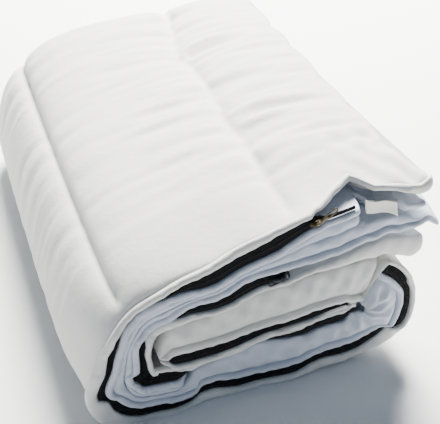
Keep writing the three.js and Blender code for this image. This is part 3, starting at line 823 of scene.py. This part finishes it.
def lower_section(u):
    """Closed rings (y, n) of the inner quilt: out along its outer leg, round the fold, and back."""
    s = {key: value[:, None] for key, value in layers(u).items()}
    u = u[:, None]
    zero = 0 * s["outer"]
    notch, core = between(*NOTCH_ROWS, u), ramp(*CORE_ROWS, u)
    cover, bend = between(*LOWER_PUFF_ROWS, u), between(*BEND_ROWS, u)
    back = (recess(u) + NOTCH_BACK) * notch + SET_BACK * core
    back_in = SET_BACK * np.maximum(cover, core)
    lip = np.maximum(mix(s["lower_lip_out"], s["lower_out"] - 5, notch), s["slit_out"] + LIP_LEAST)
    lip_in = np.maximum(s["lower_lip_in"], s["slit_in"] + LIP_LEAST)
    wall = ROLL_LENGTH - FOLD_WALL - LOWER_INSET
    opened = 1 - ramp(*LOWER_OPEN, u)
    far = mix(-s["slit_out"], mix(s["lower_lip_in"], s["inner"] + 2, bend), cover)
    bulge = mix(-LOWER_BULGE, LOWER_BULGE + BEND_BULGE * bend, cover)
    y, n = leg_edge(u, back, -lip, far, -s["slit_out"], zero + 1, bulge, seed=3.1)
    parts = [(y[:, ::-1], -n[:, ::-1])]
    rise = ramp(*RISE_DEPTHS, LOWER_FACE)
    parts.append((drawn_back(LOWER_FACE, back), mix(lip - LIP_STEP, s["lower_out"], rise)))
    parts.append((wall + zero, zero))
    page_in = mix(s["lower_in"], PAGE_IN, opened)
    parts.append((drawn_back(LOWER_FACE[::-1], back_in), -mix(lip_in - LIP_STEP, page_in, rise[::-1])))
    parts.append(leg_edge(u, back_in, -lip_in, -s["slit_in"], -mix(s["slit_in"], SLIT_FACE, opened), zero + 1,
                          -LOWER_BULGE, seed=4.7))
    parts.append((LOWER_SLIT, -mix(s["slit_in"], SLIT_INSIDE, opened)))
    parts.append((wall - SLIT_SHORT + zero, zero))
    parts.append((drawn_back(LOWER_SLIT[::-1], back), s["slit_out"]))
    return ring(parts, zero)


lower_rows = np.linspace(LOWER_START, LOWER_END, round((LOWER_END - LOWER_START) / RING_STEP))
lower = wound("quilt_lower", lower_rows, lower_section, slides=(0.47, 0.0))
# The darker, bluer copy of the percale: painted shade on the inner quilt.
lower.data.materials.append(painted_shade_percale_inner)

# %% [markdown]
# ## Zip tapes
# Each zip is a pair of woven black polyester tapes with a closed nylon coil down the middle.
# Between the bound edges only a strip of it shows, bowed forward a little by the coil.

# %% Polyester tape
TAPE_THICK, TAPE_FACE, TAPE_BOW = 1.2, 5.2, 1.4  # its face lies TAPE_FACE behind the front
TAPE_INSET, TAPE_LEAST = 0.8, 0.5  # gap to the bound edges, and least half width
SHOWN_HALF_WIDTHS = (0.4, 2.4)  # a strip narrower than this sinks out of sight
TAPE_PITCH_MM = 1.2  # the ribs of the weave, drawn coarser than real


def tape_section(u, which):
    """A thin bowed strip: its face follows a parabola across its width, its back lies behind it."""
    s = layers(u)
    side = "out" if which == "outer" else "in"
    low, high = s["lower_lip_" + side][:, None] + TAPE_INSET, s["upper_lip_" + side][:, None] - TAPE_INSET
    middle, half = (low + high) / 2, np.maximum((high - low) / 2, TAPE_LEAST)
    share = np.linspace(0, 1, 9)[None]
    hidden = HIDDEN_BACK * (1 - ramp(*SHOWN_HALF_WIDTHS, zip_path(u, which)[1]))[:, None]
    bow = TAPE_BOW * (1 - (2 * share - 1) ** 2) - hidden
    n = mix(middle - half, middle + half, share)
    face = np.concatenate([TAPE_FACE - bow + 0 * n, (TAPE_FACE + TAPE_THICK - bow + 0 * n)[:, ::-1]], 1)
    return face, SIDES[which] * np.concatenate([n, n[:, ::-1]], 1)


# Woven tape: fine ribs across the strip, hardly any gloss
tape_material = ribbed("woven_polyester_tape", "060709", "X", TAPE_PITCH_MM, 0.4, 0.3,
                       Roughness=0.85, Specular_IOR_Level=0.2)
tapes = {}
for which in SIDES:
    tape_rows = np.linspace(ZIP_START[which], ZIP_END, round((ZIP_END - ZIP_START[which]) / RING_STEP))
    tapes[which] = wound(f"tape_{which}", tape_rows, lambda u: tape_section(u, which))
    tapes[which].data.materials.append(tape_material)

# %% Nylon coil
COIL_PITCH, COIL_WIDTH, COIL_LENGTH, COIL_HEIGHT = 2.4, 3.0, 1.9, 0.9
COIL_SHARE, COIL_OFF = 0.8, 0.1  # its share of a narrow strip, and its distance off the tape
COIL_INSET, COIL_END = 0.1, 0.15  # rows that the coil stops short of the tape's two ends
COIL_SHOWN = 2.2  # half width from which a strip shows its coil


def coil(which):
    """The closed coil: one small rounded bridge of elliptical rings for each pitch of arc length."""
    fine = np.linspace(ZIP_START[which] + COIL_INSET, ZIP_END - COIL_END, 1500)
    arc = arc_length(fine)
    rows = np.interp(np.arange(arc[0], arc[-1], COIL_PITCH), arc, fine)
    middle, half = zip_path(rows, which)
    rows, middle, half = (v[half > COIL_SHOWN][:, None, None] for v in (rows, middle, half))
    steps = BRIDGE_STEPS[:, None]
    ends = np.sqrt(1 - 0.9 * steps**2)
    n = middle + np.minimum(COIL_WIDTH, COIL_SHARE * half) / 2 * steps + 0 * BRIDGE_TURN
    y = TAPE_FACE - TAPE_BOW - COIL_OFF - COIL_HEIGHT * ends * np.cos(BRIDGE_TURN) + wave(rows) + 0 * n
    slide = COIL_LENGTH / 2 * ends * np.sin(BRIDGE_TURN) / ROW_PITCH
    bridges = place(rows + slide, y, SIDES[which] * n)
    return joined(f"coil_{which}", [skin(bridge) for bridge in bridges])


# Moulded nylon: black with the soft gloss of plastic
nylon, _, _ = new_material("black_nylon_coil", Base_Color=linear("08090b"), Roughness=0.6,
                           Specular_IOR_Level=0.2)
coils = {which: coil(which) for which in SIDES}
for piece in coils.values():
    piece.data.materials.append(nylon)

# %% [markdown]
# ## Sliders and pulls
# A slider is a die-cast body: a waisted plate with turned-down sides and a bridge that
# holds the pull, which is a flat bar with a slot. One is brushed antique brass, one gunmetal.

# %% Metal
def cast_metal(name, tint, worn, roughness):
    """Plated die-cast metal: fine scratches change its gloss, and worn spots show a paler metal."""
    material, tree, shader = new_material(name, Metallic=1.0, Roughness=roughness)
    space = add(tree, "ShaderNodeTexCoord").outputs["Object"]
    spots = add(tree, "ShaderNodeTexNoise", Vector=space, Scale=420.0, Detail=4.0, Roughness=0.6)
    share = add(tree, "ShaderNodeMapRange", Value=spots.outputs["Fac"], in1=0.52, in2=0.72, in3=0.0, in4=1.0)
    colour = add(tree, "ShaderNodeMix", {"data_type": "RGBA"}, Factor=share.outputs["Result"],
                 A=linear(tint), B=linear(worn))
    tree.links.new(colour.outputs["Result"], shader.inputs["Base Color"])
    scratches = add(tree, "ShaderNodeTexNoise", Vector=space, Scale=1500.0, Detail=2.0)
    bump = add(tree, "ShaderNodeBump", Strength=0.2, Distance=0.0001, Height=scratches.outputs["Fac"])
    tree.links.new(bump.outputs["Normal"], shader.inputs["Normal"])
    return material


METALS = {"outer": cast_metal("antique_brass", "4b4436", "8f8160", 0.42),
          "inner": cast_metal("gunmetal", "34373b", "6d7176", 0.38)}

# %% Shapes of the metal parts, each along, across and out of its zip's strip, in mm
SLIDER_LENGTH, SLIDER_WIDTH, PLATE, PLATE_GAP = 15.0, 9.5, 1.3, 1.6
PULLS = {"outer": {"row": 2.62, "turn": 0.4, "length": 31.0, "width": 7.5},
         "inner": {"row": 3.58, "turn": math.pi - 0.12, "length": 20.0, "width": 7.0}}


def on_tape(points, which, lift, turn=0.0):
    """Points given along, across and out of a zip's strip, turned about the outward axis, in the room."""
    row = PULLS[which]["row"]
    centre = place(row, TAPE_FACE - TAPE_BOW - lift + wave(row), SIDES[which] * zip_path(row, which)[0])
    s = stack_at(np.array(row, float))
    across = np.array([s["normal_x"], 0, s["normal_z"]])
    along = np.array([s["normal_z"], 0, -s["normal_x"]])
    out = np.array([0, -1.0, 0])
    a = points[..., :1] * math.cos(turn) - points[..., 1:2] * math.sin(turn)
    b = points[..., :1] * math.sin(turn) + points[..., 1:2] * math.cos(turn)
    return centre + MM * (a * along + b * across + points[..., 2:] * out)


def slab(outline, low, high, bevel, centre=(0, 0)):
    """Closed plate over an outline about a centre: four rings, the outer two drawn in by the bevel."""
    reach = outline - centre
    inner = outline - bevel * unit(reach)
    levels = ((inner, low), (outline, low + bevel), (outline, high - bevel), (inner, high))
    return np.stack([np.column_stack([flat, np.full(len(flat), height)]) for flat, height in levels])


def tube(centres, across, out, sides):
    """Elliptical rings: each centre plus cos times the vector across and sin times the vector out."""
    turn = np.linspace(0, 2 * math.pi, sides + 1)[:-1, None]
    return centres[:, None] + np.cos(turn) * across[:, None] + np.sin(turn) * out[:, None]


def loop_tube(path, half_across, half_out):
    """Closed tube around a closed flat path, its section an ellipse set square to the path."""
    step = unit(np.roll(path, -1, 0) - np.roll(path, 1, 0))
    flat = 0 * path[:, 0]
    side = np.column_stack([step[:, 1], -step[:, 0], flat])
    return tube(np.column_stack([path, flat]), half_across * side,
                half_out * np.column_stack([flat, flat, flat + 1]), 8)


def arched_strap(length, height, half_across, half_out):
    """Open strap bent over a half ellipse along the slider: closed rounded sections from end to end."""
    t = np.linspace(0, math.pi, 13)
    centre = np.column_stack([-length / 2 * np.cos(t), 0 * t, height * np.sin(t)])
    tangent = unit(np.column_stack([length / 2 * np.sin(t), 0 * t, height * np.cos(t)]))
    normal = np.column_stack([-tangent[:, 2], 0 * t, tangent[:, 0]])
    return tube(centre, half_across * np.column_stack([0 * t, 0 * t + 1, 0 * t]), half_out * normal, 10)


def waisted_outline(length, width):
    """Slider plate seen from above: two lobes at the open end, drawn in to a narrower tail."""
    t = np.linspace(0, 2 * math.pi, 33)[:-1]
    lobe = 0.60 + 0.40 * ramp(-0.2, 0.6, np.cos(t)) - 0.12 * np.exp(-((np.cos(t) + 0.1) / 0.3) ** 2)
    notch = 1 - 0.14 * np.exp(-(t / 0.32) ** 2) - 0.14 * np.exp(-((t - 2 * math.pi) / 0.32) ** 2)
    across = width / 2 * lobe * np.sign(np.sin(t)) * np.abs(np.sin(t)) ** 0.65
    return np.column_stack([length / 2 * np.cos(t) * notch, across])


def stadium(start, end, half_start, half_end, count):
    """Closed outline of a bar with two round ends of different radii, count points to an end."""
    turn = np.linspace(-math.pi / 2, math.pi / 2, count)
    head = np.column_stack([end + half_end * np.cos(turn), half_end * np.sin(turn)])
    tail = np.column_stack([start - half_start * np.cos(turn), -half_start * np.sin(turn)])
    return np.concatenate([head, tail])


# %% Bodies and pulls
PLATE_BEVEL, RAIL_BEVEL = 0.35, 0.15
RAIL_OFF, RAIL_SINK = 3.0, 0.2  # the rails' distance off the middle and into the plates
BRIDGE_SINK = 0.3  # how deep the bridge's feet stand in the front plate
PULL_LIFT = 1.5  # the pull's middle lies this far out of the front plate
EYE = (0.6, 3.2, 1.9, 1.9, 9)  # the ring at the bridge, as a stadium
WEB_START, WEB_END, SLOT_START = 4.4, 0.42, 0.44  # the bar and its slot, the last two as shares


def slider_body(which):
    """Two waisted plates, the side rails between them and the bridge over the front one."""
    outline = waisted_outline(SLIDER_LENGTH, SLIDER_WIDTH)
    low, high = PLATE_GAP / 2, PLATE_GAP / 2 + PLATE
    parts = [slab(outline, low, high, PLATE_BEVEL), slab(outline, -high, -low, PLATE_BEVEL)]
    for side in (-1, 1):
        rail = stadium(-4.6, 3.6, 0.5, 0.5, 6) + np.array([0, side * RAIL_OFF])
        parts.append(slab(rail, -low - RAIL_SINK, low + RAIL_SINK, RAIL_BEVEL, rail.mean(0)))
    bridge = arched_strap(9.0, 2.5, 1.3, 0.5)
    bridge[..., 2] += high - BRIDGE_SINK
    return joined(f"body_{which}", [skin(on_tape(part, which, high)) for part in (*parts, bridge)])


def pull_tab(which):
    """A ring at the bridge, a waisted bar, and a long slot near the free end, all with rounded rims."""
    length, half = PULLS[which]["length"], PULLS[which]["width"] / 2
    frame = stadium(length * SLOT_START, length - half, half * 0.72, half - 0.7, 11)
    web = stadium(WEB_START, length * WEB_END, half * 0.42, half * 0.74, 7)
    web = slab(web, -0.55, 0.55, 0.25, ((WEB_START + length * WEB_END) / 2, 0))
    parts = [(loop_tube(stadium(*EYE), 0.85, 0.6), True), (web, False), (loop_tube(frame, 0.95, 0.65), True)]
    lift = PLATE_GAP + 2 * PLATE + PULL_LIFT
    return joined(f"tab_{which}", [skin(on_tape(part, which, lift, PULLS[which]["turn"]), endless)
                                   for part, endless in parts])


sliders = {which: slider_body(which) for which in SIDES}
pulls = {which: pull_tab(which) for which in SIDES}
for which, metal in METALS.items():
    sliders[which].data.materials.append(metal)
    pulls[which].data.materials.append(metal)

# %% [markdown]
# ## Care label
# A strip of woven polyester satin, bare here. It is sewn to the inner quilt's edge behind the
# notch, runs forward from there, folds over and hangs down with a soft curl. The curl and the
# tongue behind it show how cloth is held.

# %% Label
LABEL_FROM_ROW, LABEL_TO_ROW = 0.8, 1.5
LABEL_TOP, LABEL_DROP, LABEL_DEPTH, LABEL_THICK = 24.0, 17.0, 8.0, 0.5
LABEL_TILT = 16.0  # how much higher its inner end hangs
TONGUE_SLOPE, TONGUE_LEAN = 0.74, 0.4  # how the sewn end runs down and to the right as it goes back
TONGUE_OVERLAP = 3  # how far it reaches onto the inner quilt
LABEL_COLUMNS, LABEL_STEPS, TONGUE_STEPS = 25, 15, 7
BELLY, TUCK, RIPPLE, CORNER_CURL = 2.2, 2.6, 0.7, 1.6  # parts of the curl, in mm
SATIN_PITCH_MM = 0.5  # the floats of the weave, drawn coarser than real
LABEL_UV = 0.03  # metres of cloth to one unit of the strip's own coordinates


def label_grid():
    """The strip's middle surface: rows below the top edge, curled along and across, and a tongue that
    runs back and down from that edge to the inner quilt's edge, where the strip is sewn."""
    along = np.linspace(0, 1, LABEL_COLUMNS)[:, None]
    down = np.concatenate([np.zeros(TONGUE_STEPS), np.linspace(0, 1, LABEL_STEPS)])[None]
    tongue = np.concatenate([np.linspace(1, 0, TONGUE_STEPS + 1)[:-1], np.zeros(LABEL_STEPS)])[None]
    row = mix(LABEL_FROM_ROW, LABEL_TO_ROW, along) + 0 * down
    curl = (BELLY * np.sin(math.pi * along) - RIPPLE * np.sin(5.2 * along + 1.0)) * down
    y = LABEL_DEPTH + curl - (TUCK + CORNER_CURL * ramp(0.82, 1.0, 1 - along)) * down**2
    n = LABEL_TOP - LABEL_DROP * down + LABEL_TILT * (along - 0.5)
    seam = (recess(row) + NOTCH_BACK) * between(*NOTCH_ROWS, row) + TONGUE_OVERLAP
    back = np.maximum(seam - y, 0) * tongue
    return row - TONGUE_LEAN * back / ROW_PITCH, y + back, n - TONGUE_SLOPE * back


def care_label():
    """The middle surface doubled: a front and a rear sheet, LABEL_THICK apart, joined round the rim."""
    row, y, n = label_grid()
    front, rear = place(row, y, n), place(row, y + LABEL_THICK, n)
    along, across = np.linspace(0, 1, LABEL_COLUMNS), np.linspace(-1, 1, LABEL_STEPS + TONGUE_STEPS)
    around = np.concatenate([across, across[::-1]])
    uv = np.stack(np.broadcast_arrays(along[:, None], around[None]), -1) * LABEL_UV
    return joined("label_strip", [skin(np.concatenate([front, rear[:, ::-1]], axis=1))], uv)


label = care_label()
# Satin weave: long floats one way give it a faint directional gloss; here fine ribs and low roughness
label.data.materials.append(ribbed("polyester_satin", "f0eee6", "Y", SATIN_PITCH_MM, 0.2, 0.1,
                                   Roughness=0.5, Sheen_Weight=0.1))

# %% [markdown]
# ## Floor, light and camera
# A pale floor, a large soft light from above and behind, a faint cooler one from the front,
# and a bluish sky, as in a small photo studio. The camera stands where the photograph was
# taken from, as solved from the roll's straight edges.

# %% Stage
FLOOR_HALF = 20.0
SKY_COLOUR, SKY_STRENGTH = (0.56, 0.74, 1.0, 1.0), 0.21
corners = [(x * FLOOR_HALF, y * FLOOR_HALF, 0) for x, y in ((-1, -1), (1, -1), (1, 1), (-1, 1))]
floor = make_mesh("studio_floor", corners, [(0, 1, 2, 3)])
floor_material, _, _ = new_material("pale_studio_floor", Base_Color=linear("f7f7f7"), Roughness=0.9)
floor.data.materials.append(floor_material)

world = bpy.data.worlds.new("studio")
world.use_nodes = True
sky = world.node_tree.nodes["Background"]
sky.inputs["Color"].default_value = SKY_COLOUR
sky.inputs["Strength"].default_value = SKY_STRENGTH
bpy.context.scene.world = world


def softbox(name, stand, aim, size_m, watts, colour):
    """A square area light that stands at one point, in metres, and faces another."""
    lamp = bpy.data.lights.new(name, "AREA")
    lamp.shape, lamp.size, lamp.energy, lamp.color = "SQUARE", size_m, watts, colour
    holder = bpy.data.objects.new(name, lamp)
    bpy.context.scene.collection.objects.link(holder)
    holder.location = stand
    direction = np.array(aim, float) - np.array(stand, float)
    yaw, pitch = math.atan2(direction[1], direction[0]), math.atan2(direction[2], math.hypot(*direction[:2]))
    holder.rotation_euler = (pitch + math.pi / 2, 0, yaw - math.pi / 2)


softbox("key", (0.8, 1.6, 2.1), (0, 0, 0.15), 1.3, 640, (1.0, 0.975, 0.94))
softbox("fill", (-1.4, -1.8, 1.0), (0, -0.3, 0.1), 1.2, 4, (0.8, 0.9, 1.0))

AZIMUTH, ELEVATION = 20.9, 34.7
CAMERA_PLACE = (-0.36677, -1.15576, 0.888)
SENSOR_MM, FOCAL_PIXELS, PHOTO_WIDTH = 36.0, 955, 440
camera_data = bpy.data.cameras.new("camera")
camera_data.sensor_width = SENSOR_MM
camera_data.lens = SENSOR_MM * FOCAL_PIXELS / PHOTO_WIDTH
camera_data.clip_start, camera_data.clip_end = 0.05, 50
camera = bpy.data.objects.new("camera", camera_data)
bpy.context.scene.collection.objects.link(camera)
camera.location = CAMERA_PLACE
camera.rotation_euler = (math.radians(90 - ELEVATION), 0, math.radians(-AZIMUTH))
bpy.context.scene.camera = camera
print("lens:", round(camera_data.lens, 1), "mm")

# %% [markdown]
# ## Tying the pieces to the frame
# Each piece is tied to the frame, and where it stands for a CAD node, that node is hidden. The
# flat sizes of the zip tapes and of the label are printed.

# %% Tie the pieces to the frame
CURL_EXTRA = 1.1  # the curled label is cut this much wider than the rows it spans
LABEL_WIDE = (LABEL_TO_ROW - LABEL_FROM_ROW) * ROW_PITCH * MM * CURL_EXTRA


def tie(piece, slot, node=None):
    """Ties a piece to the part's one body and hides the CAD node it stands for, if one is named. The slot is
    not used.
    """
    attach(piece, "root")
    if node:
        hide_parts(node)


def flat_area(piece):
    """Half of the mesh's surface: what one side of a thin sheet measures."""
    area = np.zeros(len(piece.data.polygons), np.float32)
    piece.data.polygons.foreach_get("area", area)
    return float(area.sum()) / 2


tie(upper, "cotton_upper", "upper_quilt")
tie(lower, "cotton_lower", "lower_quilt")
for which, finish in (("outer", "antique_brass"), ("inner", "gunmetal")):
    tape = tapes[which]
    tie(tape, "zip_tape", f"zip_tape_{which}")
    flat_area(tape)
    tie(coils[which], "zip_tape")
    tie(sliders[which], finish, f"slider_{which}")
    tie(pulls[which], finish, f"pull_{which}")
    print(tape.name, "flat area:", round(flat_area(tape), 4), "m2")
for piece in stitched:
    tie(piece, "cotton_upper")
tie(label, "label_cloth", "care_label")
flat_area(label) / LABEL_WIDE
print("label area:", round(flat_area(label), 6), "m2")
